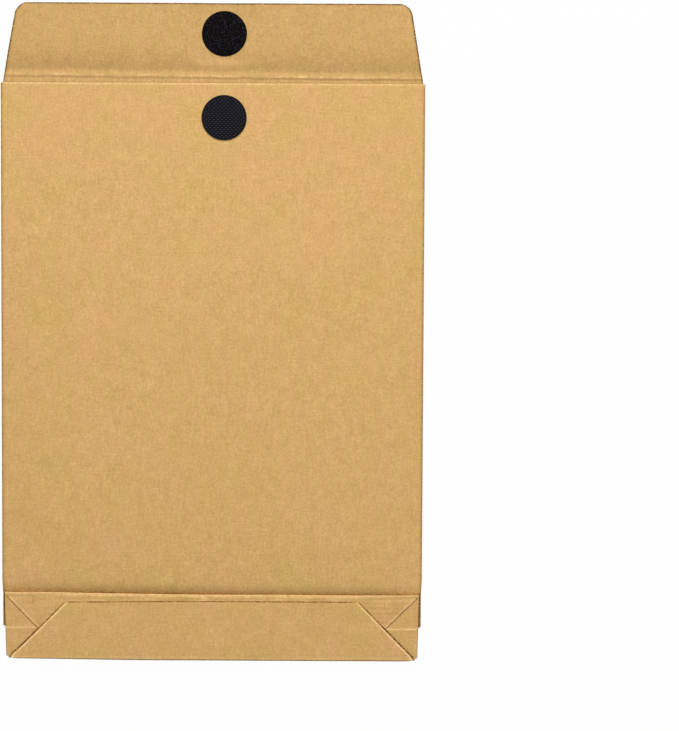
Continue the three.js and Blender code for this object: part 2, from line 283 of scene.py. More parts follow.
back_low, back_high = box("back_panel")
front_low, front_high = box("front_panel")
spine_low, spine_high = box("flap_spine")
flap_low, flap_high = box("closure_flap")
tuck_low, tuck_high = box("left_bottom_tuck")
_, inner_high = box("bottom_inner_flap")

half_width = back_high[0]
bottom_y = back_low[1]
front_top_y = front_high[1]
lower_crease_y = (back_high[1] + spine_low[1]) / 2
upper_crease_y = (spine_high[1] + flap_low[1]) / 2
spine_middle_y = (lower_crease_y + upper_crease_y) / 2
flap_tip_y = flap_high[1]
block_half = -tuck_low[0]
expansion = inner_high[1] - bottom_y
block_top_y = bottom_y + expansion
FLAP_TIP_HALF = 107
dot_low, dot_high = box("loop_dot_tape")
dot_x, dot_y = (dot_low[0] + dot_high[0]) / 2, (dot_low[1] + dot_high[1]) / 2
dot_radius = (dot_high[0] - dot_low[0]) / 2
back_z = middle_height("back_panel")


def flap_half(y):
    """Half the width of neck, spine and flap: straight sides that draw in towards the tip."""
    slope = (flap_high[0] - FLAP_TIP_HALF) / (flap_tip_y - flap_low[1])
    return flap_high[0] - (y - flap_low[1]) * slope


HELD_LIFT = 0.35
WRINKLE_RISE = 0.06


def ridge_place(x):
    """Where the pressed ridge runs, measured up from the upper crease. It is a little askew."""
    return -0.85 - 0.75 * x / half_width


def open_flap_lift(x, y):
    """How far neck, spine and flap stand off the table. The two creases leave a step, a sharp ridge and a
    dip, and the stiff dot holds the flap down round itself."""
    wander = 0.15 * ripple(x, 0, 40, 3) + 0.08 * ripple(x, 0, 9, 4) + ridge_place(x)
    moved = y - wander * smooth((y - lower_crease_y) / 2.5) - upper_crease_y
    places = [front_top_y - upper_crease_y, -4.1, -2.2, -1.2, -0.2, 0.3, 1.8, 2.7, 4.2, 6.2, 8.7, 12.2, 18,
              flap_tip_y - upper_crease_y]
    heights = [0.24, 0.28, 0.38, 0.51, 0.72, 0.74, 0.44, 0.4, 0.66, 1.1, 1.48, 1.72, 1.8, 1.45]
    relief = through(places, heights, moved)
    relief = relief * (1 - 0.06 * x / half_width) + 0.05 * ripple(x, 0, 9, 4) * bump(moved, 1.5)
    near_dot = 1 - smooth((np.hypot(x - dot_x, y - dot_y) - dot_radius) / 14)
    held = near_dot * smooth((y - upper_crease_y - 4) / 4)
    return relief * (1 - held) + HELD_LIFT * held


def wrinkles(x, y):
    """Three short slanted wrinkles side by side, across the lower crease."""
    above = y - lower_crease_y
    lines = sum(bump(x - start - 0.5 * (above - 1.1), 0.35) for start in (27.6, 29.9, 32.1))
    return lines * bump(above - 0.8, 1.8)


def crease_wear_and_shade(x, y, side):
    """Painted light and shade round the flap's creases: a painted highlight along the broken pressed ridge, a
    streak of painted shade under it that is strongest in two places, a faint painted dark line at the lower
    crease and faint painted shade in the dip above the upper crease, a strip between the two creases painted
    lighter where the front panel's step shades it, a painted dark rim along the cut edges, and paler lines
    along the short wrinkles."""
    wander = 0.15 * ripple(x, 0, 14, 5) + ridge_place(x)
    broken = 0.65 + 0.35 * ripple(x, 0, 11, 8)
    strength = 0.35 + 1.0 * bump(x - 69, 26) + 0.7 * bump(x + 74, 10)
    # Painted highlight on the ridge; painted shade under it, at the lower crease and in the dip above it.
    ridge = (0.33 + 0.07 * x / half_width) * broken * bump(y - upper_crease_y - wander, 0.5)
    streak = -0.1 * strength * bump(y - upper_crease_y - wander + 1.1, 0.4)
    lower = -0.07 * bump(y - lower_crease_y + 0.4, 0.4) - 0.04 * bump(y - upper_crease_y - 10, 5)
    # The spine is painted lighter where the front panel's step shades it; the cut edges get a painted dark
    # rim.
    spine_painted_light = 0.12 * smooth((upper_crease_y + wander - 1.4 - y) / 0.6) * (y > front_top_y)
    rim = -0.9 * np.maximum(bump(side - np.abs(x), 0.7), bump(flap_tip_y - y, 0.55)) * (y > front_top_y)
    return ridge + streak + lower + spine_painted_light + rim + 0.2 * wrinkles(x, y)


FOLD_BULGE = 0.3
BACK_CORNER = 2


def drawn_in(y):
    """How far the side folds stand in from the full width: the block bottom pulls them in a little."""
    return FOLD_BULGE + 0.45 * smooth((block_top_y + 8 - y) / 10)


def bottom_skew(x, y):
    """The bottom edge was folded a little out of square, so its left end stands higher."""
    return 0.55 * (1 - smooth((x + block_half) / 80)) * (1 - smooth((y - bottom_y) / 8))


# The sheet's columns lie closer together at its cut edges and where the short wrinkles are.
near_edge = np.array([0, 0.3, 0.6, 1.1, 2.2])
across = np.concatenate([near_edge - half_width, np.linspace(4 - half_width, half_width - 4, 110),
                         half_width - near_edge, np.arange(25.3, 36, 0.4)])
sheet_shares = (np.unique(across) + half_width) / (2 * half_width)

below_fold = stops(bottom_y + 0.4, (bottom_y + 3, 0.5), (front_low[1] - 1.5, 4), (front_low[1], 0.3),
                   (block_top_y + 10, 3), (front_top_y - 3, 10))
neck = stops(front_top_y - 3, (front_top_y - 0.02, 1), (front_top_y + 0.02, 1), (spine_middle_y, 0.2))
rows = np.concatenate([below_fold, neck[1:]])
side = np.interp(rows, [bottom_y, front_low[1] - 1.5, front_low[1]],
                 [block_half - 2, block_half - 1.6, half_width])
side = np.minimum(side, half_width - drawn_in(rows))
side = side - corner_cut(BACK_CORNER - (rows - bottom_y), BACK_CORNER)
side = np.where(rows > front_top_y, flap_half(rows), side)
x, y = between(rows, -side, side, sheet_shares)
lift = np.where(y > front_top_y, open_flap_lift(x, y), 0)
# Painted highlight and painted shade round the creases, and a painted dark rim along the cut edges.
wear_and_shade = crease_wear_and_shade(x, y, side[:, None])
y = y + bottom_skew(x, y)
z = back_z + lift + WRINKLE_RISE * wrinkles(x, y)
back_sheet = piece("back_sheet", [shell(grid_of(x, y, z), wear_and_shade=wear_and_shade)], inside_first)
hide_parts("back_panel", "flap_spine")
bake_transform(back_sheet)


# Flap with the upper half of its spine: the same sheet, seen on its inside face. It bends at the upper
# crease, where a pressed ridge catches the light and is painted paler as a highlight, and it tapers to a tip
# with rounded corners.

FLAP_CORNER = 6
FLAP_SKEW = 0.7

rows = stops(spine_middle_y, (upper_crease_y + 6, 0.2), (upper_crease_y + 14, 0.6),
             (flap_tip_y - FLAP_CORNER, 1.5))
turn = np.linspace(0, math.pi / 2, 13)[1:]
rows = np.append(rows, flap_tip_y - FLAP_CORNER * (1 - np.sin(turn)))
side = flap_half(rows) - corner_cut(rows - (flap_tip_y - FLAP_CORNER), FLAP_CORNER)
skew = FLAP_SKEW * (rows - rows[0]) / (flap_tip_y - rows[0])
x, y = between(rows, skew - side, side, sheet_shares)
z = back_z + open_flap_lift(x, y) + WRINKLE_RISE * wrinkles(x, y)
# Painted highlight and painted shade round the creases, and a painted dark rim along the cut edges.
wear_and_shade = crease_wear_and_shade(x - skew[:, None] / 2, y, (side - skew / 2)[:, None])
flap_sheet = piece("flap_sheet", [shell(grid_of(x, y, z), wear_and_shade=wear_and_shade)], inside_first)
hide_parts("closure_flap")
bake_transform(flap_sheet)


# Side gussets: on each side of the sheet, two half-depth panels folded inwards between the back and the
# front. Their sharp creases are half-round wraps of paper that bend between the two panels that they join.

TIGHT_FOLD = 0.25
gusset_depth = expansion / 2
front_fold_y = bottom_y + expansion / 2


def wrap_along_y(name, x_of_y, rows, heights, outward, materials, shift=(0, 0, 0)):
    """A half-round fold whose crease runs up the sheet, from one height to the next. Its outermost part is
    painted darker as shade, most of all near the block bottom."""
    turn = np.linspace(0, math.pi, 9)
    rise = heights[0] + (heights[1] - heights[0]) * (1 - np.cos(turn)) / 2
    x = x_of_y(rows)[:, None] + outward * np.sin(turn)[None, :]
    y = np.repeat(rows[:, None], len(turn), 1)
    z = np.repeat(rise[None, :], len(rows), 0)
    # Painted shade on the fold's outermost part, stronger below the block's top.
    rim_shade = 0.5 + 0.3 * smooth((block_top_y + 3 - rows) / 6)
    wear_and_shade = -rim_shade[:, None] * np.sin(turn)[None, :]
    return piece(name, [shell(grid_of(x, y + bottom_skew(x, y), z), wear_and_shade=wear_and_shade)], materials, shift)


def edge_in(y):
    """How far the folded side edges draw in below the front's hidden fold."""
    return np.interp(y, [front_fold_y - 1.5, front_fold_y], [half_width - block_half + 0.95, 0]) + drawn_in(y)


for word, side in (("left", -1), ("right", 1)):
    heights = {}
    for part, materials in (("back", outside_first), ("front", inside_first)):
        node = f"{word}_gusset_{part}"
        heights[part] = middle_height(node)
        inward = np.append([FOLD_BULGE, 0.7, 1.2, 1.7, 2, 3], np.linspace(5, gusset_depth, 8))
        lowest = np.interp(inward, [0, 1.7, 2, gusset_depth],
                           [front_fold_y, front_fold_y, bottom_y + 2.7, front_fold_y + 0.2])
        share = np.append(np.linspace(0, 0.1, 12), np.linspace(0.12, 1, 30))
        y = lowest[None, :] + (front_top_y - lowest)[None, :] * share[:, None]
        x = side * (half_width - inward - (drawn_in(y) - FOLD_BULGE) * (1 - inward / gusset_depth))
        middle = grid_of(x, y, heights[part])
        if side > 0:
            middle = middle[:, ::-1]
        panel = piece(node + "_sheet", [shell(middle)], materials, shift=(300 * side, 0, 40))
        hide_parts(node)
        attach(panel, node)

    rows = stops(bottom_y + 3, (front_fold_y - 1.5, 4), (front_fold_y, 0.3), (block_top_y + 10, 2),
                 (front_top_y, 12))
    materials = outside_first if side < 0 else inside_first
    back_fold = wrap_along_y(f"{word}_back_fold", lambda y, sign=side: sign * (half_width - edge_in(y)), rows,
                             (back_z, heights["back"]), side * FOLD_BULGE, materials)
    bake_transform(back_fold)
    rows = stops(front_fold_y + 0.3, (front_top_y, 12))
    crease_x = side * (half_width - gusset_depth)
    mid_fold = wrap_along_y(f"{word}_mid_fold", lambda y, at=crease_x: at + 0 * y, rows,
                            (heights["back"], heights["front"]), -side * TIGHT_FOLD, materials)
    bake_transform(mid_fold)


# Front panel: the outside face of the paper, with a straight cut top edge. Air and the folded gussets hold
# it up in a low pillow, which falls steeply where the block bottom presses it down. It is flat under the dot.

hook_low, hook_high = box("hook_dot_tape")
hook_x, hook_y = (hook_low[0] + hook_high[0]) / 2, (hook_low[1] + hook_high[1]) / 2
front_z = middle_height("front_panel")
FRONT_SHIFT = (37, 411, 90)
TOP_EDGE_RISE = 0.52


def front_lift(x, y):
    """How far the front panel stands above its flat place. The groove by the block isn't quite square."""
    askew = y + 0.006 * x
    places = [block_top_y + above for above in (-2, -0.9, 0.4, 1.9, 4.5, 10, 27)] + [-60, 40, 95, front_top_y]
    heights = [0, 0.4, 1.15, 1.9, 2.55, 2.95, 3.3, 3.2, 1.5, 0.28, 0.08]
    pillow = through(places, heights, askew)
    across = 1 - np.abs(x / half_width) ** 6
    flat = smooth((np.hypot(x - hook_x, y - hook_y) - dot_radius - 1) / 25)
    waves = (0.12 * ripple(x, y, 70, 11) + 0.03 * ripple(x, y, 22, 12)) * (1 - 0.6 * smooth((y - 60) / 35))
    inside_block = smooth((y - block_top_y) / 5)
    rolled_edge = -0.06 * bump(y - front_top_y, 0.5)
    return (pillow + waves * inside_block) * across * flat + rolled_edge


def past_left_end(x):
    """0 near the block's left end and 1 from its middle on, where its free fold lies looser."""
    return smooth((x + 75) / 70)


near_edge = np.array([0, 0.6, 1.4, 2.6, 4.2])
across = np.concatenate([-half_width + near_edge, np.linspace(-half_width + 6, half_width - 6, 64),
                         half_width - near_edge[::-1]])
rows = stops(front_fold_y + 0.05, (block_top_y - 3, 6), (block_top_y + 5, 0.35), (block_top_y + 14, 1.2),
             (front_top_y - 2, 3.2), (front_top_y, 0.25))
side = half_width - drawn_in(rows)
x, y = between(rows, -side, side, (across + half_width) / (2 * half_width))

# Painted light and shade: a painted highlight on the cut top edge, a painted dark line and a wider band of
# painted shade by the block, weaker to the right, painted dark sides, and painted shadow beyond the block's
# ends.
wear_and_shade = 0.32 * bump(front_top_y - y, 0.7) - 0.3 * bump(y - block_top_y + 0.7, 1.0)
wear_and_shade = wear_and_shade - 0.22 * (1 - 0.6 * past_left_end(x)) * bump(y - block_top_y - 0.5, 3.4)
wear_and_shade = wear_and_shade - 0.4 * bump(side[:, None] - np.abs(x), 0.6)
wear_and_shade = wear_and_shade - 0.4 * smooth((block_top_y - y) / 1.5) * smooth((np.abs(x) - block_half + 0.7) / 0.6)
y = y + TOP_EDGE_RISE * smooth((y - front_top_y + 8) / 8)
front_sheet = piece("front_sheet", [shell(grid_of(x, y, front_z + front_lift(x, y)), wear_and_shade=wear_and_shade)],
                    outside_first, FRONT_SHIFT)
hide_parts("front_panel")
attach(front_sheet, "front")

gusset_front_z = middle_height("left_gusset_front")
side_fold_rows = stops(front_fold_y, (block_top_y + 10, 2), (front_top_y, 12))
front_fold = wrap_along_y("left_front_fold", lambda y: drawn_in(y) - half_width, side_fold_rows,
                          (gusset_front_z, front_z), -FOLD_BULGE, outside_first, FRONT_SHIFT)
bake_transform(front_fold)


# Side seam, which closes the folded sheet into a tube: the right gusset turns under the front panel as a tab
# and is glued there with a thin film of paper glue, dried cloudy.

TAB_SHIFT = (200, 100, 60)
tab_low, _ = box("side_seam_tab")
tab_z = middle_height("side_seam_tab")
rows = stops(tab_low[1] + 2, (front_top_y, 4))
x, y = between(rows, tab_low[0] + 0 * rows, half_width - drawn_in(rows), np.linspace(0, 1, 8))
seam_tab = piece("seam_tab_sheet", [shell(grid_of(x, y, tab_z + front_lift(x, y)))], outside_first, TAB_SHIFT)
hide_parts("side_seam_tab")
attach(seam_tab, "front")

seam_fold = wrap_along_y("right_front_fold", lambda y: half_width - drawn_in(y), side_fold_rows,
                         (gusset_front_z, tab_z), FOLD_BULGE, inside_first, TAB_SHIFT)
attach(seam_fold, "front")


CLOUD_SIZE = 3


def dried_film(name, base, roughness):
    """Dried glue, spread thin: a cloudy film with a soft sheen."""
    material, tree = empty_material(name)
    place = add(tree, "ShaderNodeTexCoord").outputs["Object"]
    cloud = add(tree, "ShaderNodeTexNoise", {
        "Vector": place, "Scale": 1 / (CLOUD_SIZE * MM), "Detail": 2.0}).outputs["Fac"]
    shade = add(tree, "ShaderNodeMapRange", {"Value": cloud, "To Min": 0.85, "To Max": 1.1}).outputs["Result"]
    tone = add(tree, "ShaderNodeVectorMath", {0: colour(base)[:3], "Scale": shade}, operation="SCALE")
    surface = add(tree, "ShaderNodeBsdfPrincipled", {"Base Color": tone.outputs[0], "Roughness": roughness})
    add(tree, "ShaderNodeOutputMaterial", {"Surface": surface.outputs["BSDF"]})
    return material


paper_glue = dried_film("dried_paper_glue", "#e8dcc0", 0.5)
glue_low, glue_high = box("side_seam_glue")
rows = stops(glue_low[1], (glue_high[1], 5))
x, y = between(rows, glue_low[0] + 0 * rows, glue_high[0] + 0 * rows, np.linspace(0, 1, 6))
middle = grid_of(x, y, (glue_low[2] + glue_high[2]) / 2 + front_lift(x, y))
seam_glue = piece("seam_glue_film", [shell(middle, glue_high[2] - glue_low[2])], [paper_glue])
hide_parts("side_seam_glue")
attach(seam_glue, "front")


# Folded foot of the front panel: the same kraft sheet turns up over the front at a hidden fold, and turns
# again at the free top fold of the block bottom, a rounded edge with a painted highlight along it.

FOOT_SHIFT = (37, 411, 40)
strip_z = middle_height("front_fold_strip")
rows = stops(front_fold_y + 0.05, (block_top_y - 1.5, 2.5))
fold_half = half_width - drawn_in(front_fold_y)
side = np.interp(rows, [front_fold_y, block_top_y], [fold_half, block_half - FOLD_BULGE])
shares = np.concatenate([[0, 0.002, 0.005, 0.009], np.linspace(0.02, 0.98, 48), [0.991, 0.995, 0.998, 1]])
x, y = between(rows, -side, side, shares)
# Painted shadow on the strip's ends, beyond the block's ends, in the block's crevice.
wear_and_shade = -0.5 * smooth((np.abs(x) - block_half + 0.9) / 0.6)
strip = piece("front_foot_sheet", [shell(grid_of(x, y, strip_z), wear_and_shade=wear_and_shade)], inside_first, FOOT_SHIFT)
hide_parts("front_fold_strip")
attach(strip, "fold_strip")


def wrap_along_x(name, y_of_x, half, heights, outward, wear_and_shade, steps):
    """A half-round fold whose crease runs across the sheet, from one height to the next. Its outermost part
    is painted paler as a highlight (above 0) or darker as shade (below 0).
    """
    turn = np.linspace(0, math.pi, steps)
    rise = heights[0] + (heights[1] - heights[0]) * (1 - np.cos(turn)) / 2
    across = np.linspace(-half, half, 90)
    x = np.repeat(across[None, :], len(turn), 0)
    y = y_of_x(across)[None, :] + outward * np.sin(turn)[:, None]
    wear_and_shade = wear_and_shade * np.sin(turn)[:, None]
    return piece(name, [shell(grid_of(x, y, rise[:, None]), wear_and_shade=wear_and_shade)], inside_first, FOOT_SHIFT)


# Painted shade on the hidden fold's outermost part.
hidden_fold = wrap_along_x("front_hidden_fold", lambda x: front_fold_y + 0 * x, fold_half + 0.2,
                           (front_z, strip_z), -TIGHT_FOLD, wear_and_shade=-0.5, steps=9)
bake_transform(hidden_fold)

# Heights of the inner flap's upper and under ply, how far it drops to its folds and how far they bulge out.
INNER_TOP = 4.12
INNER_UNDER = 3.82
INNER_DROP = 0.35
INNER_BULGE = 0.6


def free_fold_y(x):
    """The block's free fold was creased by hand, so it sags to the middle and wanders a little."""
    sag = 0.8 * (1 - (x / block_half) ** 4)
    slack = 0.55 * (1 - smooth((x + block_half) / 30)) + 0.25 * past_left_end(x)
    return block_top_y - 0.4 - sag - 0.003 * x - slack + 0.16 * ripple(x, 0, 90, 21)


# A painted highlight along the free fold's rounded edge.
top_fold = wrap_along_x("block_top_fold", free_fold_y, block_half - FOLD_BULGE,
                        (strip_z, INNER_TOP - INNER_DROP), INNER_BULGE, wear_and_shade=0.35, steps=13)
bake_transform(top_fold)


# End tucks and corner triangles: the gussets' feet in the same sheet, folded flat first. The gusset's middle
# crease runs on across each tuck as a pressed line, and the tuck's outer edge wraps down to the triangle.

# Height of the tuck's ply, and the radius of the block's worn corners.
TUCK_Z = 3.61
END_CORNER = 2.2
corner_z = middle_height("left_corner_triangle")
crease_y = (bottom_y + block_top_y) / 2 - 1.2


def block_side(y):
    """Half the width of the block's ends: drawn in a little at the bottom, with the corner worn round."""
    taper = 0.9 * (block_top_y - y) / expansion
    return block_half - FOLD_BULGE - taper - corner_cut(END_CORNER - (y - bottom_y), END_CORNER)


for word, side in (("left", -1), ("right", 1)):
    tuck_box_low, tuck_box_high = box(f"{word}_bottom_tuck")
    inner_end = min(tuck_box_low[0], tuck_box_high[0], key=abs)
    materials = outside_first if side < 0 else inside_first
    end_shift = (-80, 530 * side, 25)
    rows = stops(tuck_box_low[1] + 0.1, (bottom_y + 2.4, 0.3), (crease_y - 1.5, 2.5), (crease_y + 1.5, 0.15),
                 (tuck_box_high[1], 2.5))
    outer, inner = side * block_side(rows), inner_end + 0 * rows
    x, y = between(rows, np.minimum(outer, inner), np.maximum(outer, inner), np.linspace(0, 1, 30))
    line = y - crease_y - 0.1 * ripple(x, 0, 12, 31)
    pressed = 0.05 * bump(line, 0.3) - 0.03 * bump(line + 0.7, 0.4)
    # A painted highlight along the pressed line, and faint painted shade just under it.
    wear_and_shade = 0.3 * bump(line, 0.5) - 0.05 * bump(line + 1.2, 0.5)
    y = y + bottom_skew(x, y)
    tuck = piece(f"{word}_tuck_sheet", [shell(grid_of(x, y, TUCK_Z + pressed), wear_and_shade=wear_and_shade)],
                 outside_first, end_shift)
    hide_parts(f"{word}_bottom_tuck")
    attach(tuck, "bottom_block")

    rows = stops(bottom_y + 0.3, (bottom_y + 2.4, 0.4), (block_top_y - 0.3, 1.2))
    reach = np.minimum(rows - bottom_y, block_top_y - rows)
    outer, tip = side * block_side(rows), side * np.minimum(block_half - reach, block_side(rows) - 0.05)
    x, y = between(rows, np.minimum(outer, tip), np.maximum(outer, tip), np.linspace(0, 1, 6))
    middle = grid_of(x, y + bottom_skew(x, y), corner_z)
    triangle = piece(f"{word}_corner_sheet", [shell(middle)], inside_first, end_shift)
    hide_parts(f"{word}_corner_triangle")
    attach(triangle, f"{word}_corner")

    rows = stops(tuck_box_low[1] + 0.1, (bottom_y + 2.4, 0.3), (tuck_box_high[1], 3))
    end_fold = wrap_along_y(f"{word}_block_end_fold", lambda y, sign=side: sign * block_side(y), rows,
                            (corner_z, TUCK_Z), side * FOLD_BULGE, materials)
    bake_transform(end_fold)


# Bottom flaps, of the same sheet: the inner one hangs on the free top fold, and the outer one wraps the
# bottom edge and is glued over it. Their ends are folded under at 45 degrees, in rounded folds that catch
# the light, with painted shade on their sides and painted highlights on their shoulders.

reach_in = block_half + tuck_high[0]


def folded_flap(fold_y_of_x, inwards, half, top, under, fold_drop, wrinkle, dark, pale, bulge, tip, bow,
                fine_at):
    """A bottom flap as one sheet: under the left end, round its slanted fold, across the top, and back under.
    Each slanted fold gets painted shade on its side, as strong as dark, and a painted highlight on its
    shoulder, as strong as pale; the top also gets a painted dark line by the cut edge. Inwards is 1 where the
    flap lies above its fold and -1 where it lies below. Tip draws the start of a slanted fold in, bow draws
    its middle out, and fine_at lists the places that have closer columns. Returns the middle points and their
    painted light and shade."""
    shoulder = half - reach_in
    depths = stops(0, (1.5, 0.3), (7, 0.7), (reach_in - 1, 1.1), (reach_in, 0.2))
    sag = max(0.0, float(inwards * (fold_y_of_x(0.0) - fold_y_of_x(-half))))
    under_share = np.linspace(0, 1, 3)[:-1]
    turn = np.linspace(0, math.pi, 11)
    roll, roll_drop = 1.1, 0.08
    near_edge = np.array([0.2, 0.4, 0.6, 0.85, roll, 1.6, 2.6, 4]) / half
    top_share = np.concatenate([near_edge, np.linspace(near_edge[-1], 1 - near_edge[-1], 80)[1:-1],
                                0.5 + fine_at / (2 * half), 1 - near_edge[::-1]])
    top_share = np.unique(np.round(top_share, 5))
    grid, wear_and_shade = [], []
    for depth in depths:
        inner_part = smooth(depth / 8)
        edge = half - depth - tip * (1 - smooth(depth / 2.5)) - sag * inner_part
        edge = edge + bow * math.sin(math.pi * depth / reach_in)
        by_cut = smooth((depth - reach_in + 0.9) / 0.8)
        width = max(1.2, edge - shoulder)
        left_under = np.stack([-edge + width * (1 - under_share), under + 0 * under_share], -1)
        edge_top = top - roll_drop
        out = bulge * smooth((reach_in - depth) / 1.5)
        wrap = np.stack([-edge - out * np.sin(turn), under + (edge_top - under) * (1 - np.cos(turn)) / 2], -1)
        across = -edge + 2 * edge * top_share
        from_edge = edge - np.abs(across)
        crown = top - roll_drop * np.clip(1 - from_edge / roll, 0, 1) ** 2
        flat = np.stack([across, crown], -1)
        half_row = np.concatenate([left_under, wrap])
        row = np.concatenate([half_row, flat, half_row[::-1] * [-1, 1]])
        drop = fold_drop * (1 - smooth(depth / 6)) ** 1.5 + 0.2 * by_cut
        x = row[:, 0]
        y = fold_y_of_x(x) * (1 - inner_part) + fold_y_of_x(0 * x) * inner_part + inwards * depth
        y = y + (0.6 * past_left_end(x) - 0.1) * smooth(depth / reach_in)
        settle = smooth((row[:, 1] - under) / (top - under))
        z = row[:, 1] - drop * settle + wrinkle(x, y) * settle
        grid.append(grid_of(x, y, z))
        # Painted shade on each slanted fold's side; a painted highlight on the shoulders, painted shade by
        # the cut.
        side_painted_shade = np.append(0 * under_share, -dark(depth) * smooth(2 * np.sin(turn)))
        top_light_and_shade = pale * bump(from_edge - 0.6, 0.7) - 0.62 * by_cut
        wear_and_shade.append(np.concatenate([side_painted_shade, top_light_and_shade, side_painted_shade[::-1]]))
    grid, wear_and_shade = np.array(grid), np.array(wear_and_shade)
    return (grid[::-1], wear_and_shade[::-1]) if inwards < 0 else (grid, wear_and_shade)


def strip_creases(x, y):
    """Two short creases side by side that run in from the free fold, and a faint one near the left end."""
    above = y - block_top_y
    pair = bump(x + 5.6 + 0.15 * above, 0.35) + bump(x + 4.0 + 0.15 * above, 0.35)
    faint = bump(x + 99.6, 0.5)
    return pair * smooth((above + 10) / 2) + 0.5 * faint * smooth((above + 13) / 4)


def inner_wrinkle(x, y):
    """Faint waves of the inner flap, with its creases pressed up."""
    return 0.02 * ripple(x, y, 35, 41) + 0.08 * strip_creases(x, y)


crease_columns = np.concatenate([np.arange(-7, -2.4, 0.35), np.arange(-101, -98, 0.4)])
# Painted shade on the sides of the slanted folds and a painted highlight on their shoulders.
inner, wear_and_shade = folded_flap(free_fold_y, -1, block_half - FOLD_BULGE, INNER_TOP, INNER_UNDER, INNER_DROP,
                          inner_wrinkle, dark=lambda depth: 0.4, pale=0.3, bulge=INNER_BULGE, tip=0, bow=0.5,
                          fine_at=crease_columns)
x, y = inner[..., 0], inner[..., 1]
# A painted highlight along the free fold; then random streaks of tone and paler short creases.
wear_and_shade = wear_and_shade + 0.33 * bump(y - free_fold_y(x), 0.7) * (inner[..., 2] > INNER_TOP - 0.5)
wear_and_shade = wear_and_shade + 0.07 * ripple(x / 5, y, 3, 43) + 0.25 * strip_creases(x, y) - 0.02
inner_flap = piece("bottom_inner_sheet", [shell(inner, wear_and_shade=wear_and_shade)], outside_first, (61, -700, 10))
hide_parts("bottom_inner_flap")
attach(inner_flap, "bottom_block")

# The same three heights of the outer flap.
OUTER_TOP = 4.64
OUTER_UNDER = 4.34
OUTER_DROP = 0.12
_, outer_high = box("bottom_outer_flap")
outer_half = outer_high[0]


def bottom_fold_y(x):
    """The bottom edge, where the outer flap is folded over from the back panel."""
    return bottom_y + bottom_skew(x, bottom_y)


# Painted shade on the slanted folds' sides, darkest from corner to apex, and painted highlights on shoulders.
outer, wear_and_shade = folded_flap(bottom_fold_y, 1, outer_half - 0.4, OUTER_TOP, OUTER_UNDER, OUTER_DROP,
                          lambda x, y: 0.02 * ripple(x, y, 45, 42),
                          dark=lambda depth: 0.95 - 0.4 * smooth((depth - 15) / 6), pale=0.4, bulge=1.0,
                          tip=0.9, bow=-0.2, fine_at=np.array([]))
# A faint paler line 1 mm in from the bottom edge.
wear_and_shade = wear_and_shade + 0.08 * bump(outer[..., 1] - bottom_y - 1, 0.6)

# The lip is the stretch of paper that stands up between the back panel and the flap's fold.
lip_top = OUTER_TOP - OUTER_DROP
height = np.linspace(back_z, lip_top, 16)
out = through([back_z, 2.6, 3.3, 4.0, lip_top], [0.15, 0.22, 0.58, 0.55, 0], height)
across = np.linspace(-1, 1, 100) * (outer_half - 1.4)
x = np.repeat(across[None, :], len(height), 0)
held = 0.8 + 0.2 * smooth((x + block_half) / 100)
y = bottom_fold_y(x) - out[:, None] * held * (1 - np.abs(x / across[-1]) ** 60)
lip = grid_of(x, y, height[:, None])
# Painted shade on the lip where it bulges out from the bottom edge.
lip_painted_shade = -(0.8 + 0.15 * bump(x + 40, 30)) * smooth(2 * out)[:, None]
outer_flap = piece("bottom_outer_sheet", [shell(outer, wear_and_shade=wear_and_shade), shell(lip, wear_and_shade=lip_painted_shade)],
                   outside_first, (-19, -820, 5))
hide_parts("bottom_outer_flap")
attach(outer_flap, "bottom_block")


def dress(node, material):
    """Give a solid of the frame its material."""
    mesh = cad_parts[node].data
    mesh.materials.clear()
    mesh.materials.append(material)


# A film of the same paper glue lies between the two flaps.
dress("bottom_glue", paper_glue)


# Hook dot: a disc of woven black nylon tape with rows of small bent hooks, which catch a little light as
# paler specks, painted onto the upper part of the tape. A film of clear adhesive holds it to the front panel.

def black_nylon(name, dark, pale, roughness, thread, lit):
    """Dull black nylon thread, near black in the weave, with a painted highlight that greys it where threads
    stand up and catch the light. Thread is the grain in mm, drawn coarser than the real threads so that it
    shows."""
    material, tree = empty_material(name)
    places = add(tree, "ShaderNodeTexCoord")
    threads = add(tree, "ShaderNodeTexNoise", {
        "Vector": places.outputs["Object"], "Scale": 1 / (thread * MM), "Detail": 2.0}).outputs["Fac"]
    blacks = {0: lit(tree, places, threads), 6: colour(dark), 7: colour(pale)}
    tone = add(tree, "ShaderNodeMix", blacks, data_type="RGBA").outputs[2]
    relief = add(tree, "ShaderNodeBump", {"Height": threads, "Strength": 0.6, "Distance": 0.1 * MM})
    surface = add(tree, "ShaderNodeBsdfPrincipled", {
        "Base Color": tone, "Roughness": roughness, "Specular IOR Level": 0.07,
        "Normal": relief.outputs["Normal"]}).outputs["BSDF"]
    add(tree, "ShaderNodeOutputMaterial", {"Surface": surface})
    return material


def painted_hook_highlight(tree, places, threads):
    """Painted highlight: the hooks stand above the tape and catch the light, so the upper part of the node is
    painted paler.
    """
    height = add(tree, "ShaderNodeSeparateXYZ", {"Vector": places.outputs["Generated"]}).outputs["Z"]
    tip = add(tree, "ShaderNodeMapRange", {"Value": height, "From Min": 0.35, "From Max": 0.9})
    part = add(tree, "ShaderNodeMapRange", {
        "Value": threads, "From Min": 0.35, "From Max": 0.65, "To Min": 0.4, "To Max": 1.2})
    both = {0: tip.outputs["Result"], 1: part.outputs["Result"]}
    return add(tree, "ShaderNodeMath", both, operation="MULTIPLY").outputs[0]


hook_nylon = black_nylon("black_hook_nylon", "#17161b", "#797b93", 0.5, 0.35, painted_hook_highlight)
clear_adhesive = dried_film("clear_dot_adhesive", "#d9d4c4", 0.35)
dress("hook_dot_tape", hook_nylon)
dress("hook_dot_adhesive", clear_adhesive)


# Loop dot: a disc of knitted black nylon tape under a napped pile of fine loops, matte and with a fuzzy rim.
# It is stuck to the flap by hand, with the same clear adhesive, and holds the paper flat.

